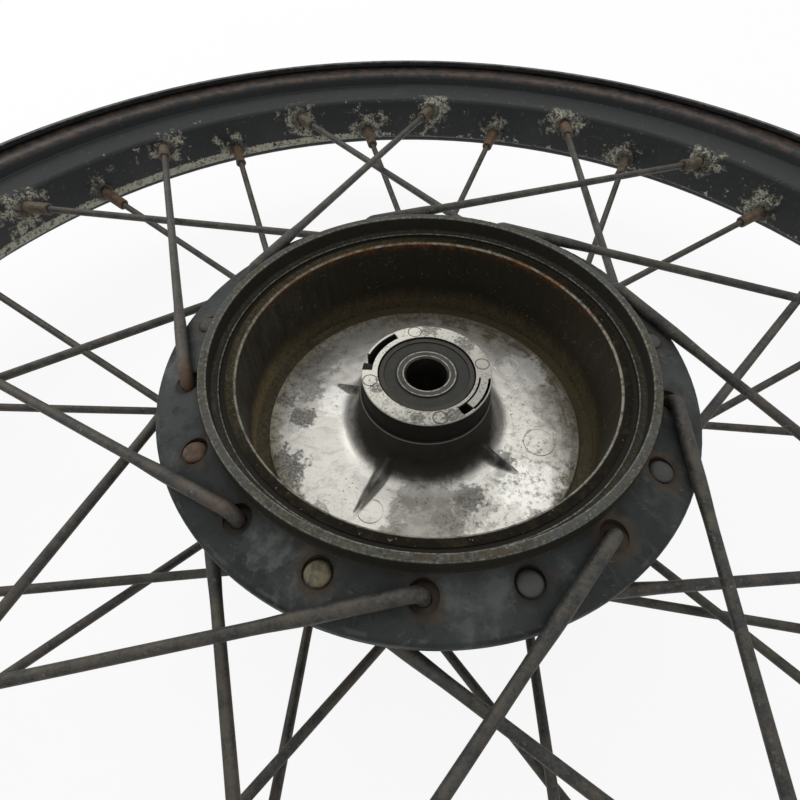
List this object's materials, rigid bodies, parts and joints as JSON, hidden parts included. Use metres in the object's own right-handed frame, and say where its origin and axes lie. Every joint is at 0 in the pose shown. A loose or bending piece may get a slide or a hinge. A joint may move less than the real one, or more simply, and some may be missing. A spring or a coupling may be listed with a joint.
{
  "type": "spoked motorcycle wheel",
  "caption": "Spoked wheel lying flat: cast drum-brake hub with ball bearings, crossed wire spokes with nipples, and a steel drop-centre rim for a tubed tyre.",
  "frame": {"origin": "on the axle line, in the middle plane of the rim", "axes": "+Z along the axle line, out of the brake drum's open side; the valve hole is near -X"},
  "size_m": [0.5652, 0.5652, 0.1054],
  "materials": {
    "hub_paint": "satin",
    "iron": "satin",
    "bearing_steel": "polished",
    "seal_rubber": "matte",
    "cage_steel": "satin",
    "spacer_steel": "satin",
    "seal_case_steel": "satin",
    "spoke_steel": "dull, rusty",
    "nipple_steel": "dull, rusty",
    "rim_paint": "gloss"
  },
  "bodies": {
    "wheel": {"hub_casting": "hub_paint", "brake_liner": "iron", "near_bearing_outer_ring": "bearing_steel", "near_bearing_outer_seal": "seal_rubber", "near_bearing_inner_seal": "seal_rubber", "far_bearing_outer_ring": "bearing_steel", "far_bearing_outer_seal": "seal_rubber", "far_bearing_inner_seal": "seal_rubber", "dust_seal_case": "seal_case_steel", "dust_seal_lip": "seal_rubber", "dust_seal_spring": "bearing_steel", "spokes_near_outer": "spoke_steel", "spokes_near_inner": "spoke_steel", "spokes_far_outer": "spoke_steel", "spokes_far_inner": "spoke_steel", "nipples_near_row": "nipple_steel", "nipples_far_row": "nipple_steel", "rim": "rim_paint"},
    "axle_sleeve": {"near_bearing_inner_ring": "bearing_steel", "far_bearing_inner_ring": "bearing_steel", "spacer_tube": "spacer_steel", "spacer_collar": "spacer_steel"},
    "near_ball_set": {"near_bearing_balls": "bearing_steel", "near_bearing_cage": "cage_steel"},
    "far_ball_set": {"far_bearing_balls": "bearing_steel", "far_bearing_cage": "cage_steel"}
  },
  "joints": [
    {"name": "axle_spin", "type": "hinge", "parent": "wheel", "child": "axle_sleeve", "pos_m": [0, 0, 0], "axis": [0, 0, 1], "continuous": true},
    {"name": "near_balls_roll", "type": "hinge", "parent": "wheel", "child": "near_ball_set", "pos_m": [0, 0, 0.0219], "axis": [0, 0, 1], "continuous": true},
    {"name": "far_balls_roll", "type": "hinge", "parent": "wheel", "child": "far_ball_set", "pos_m": [0, 0, -0.0505], "axis": [0, 0, 1], "continuous": true}
  ],
  "couplings": [
    {"joint": "near_balls_roll", "follows": "axle_spin", "ratio": 0.38096},
    {"joint": "far_balls_roll", "follows": "axle_spin", "ratio": 0.38096}
  ]
}
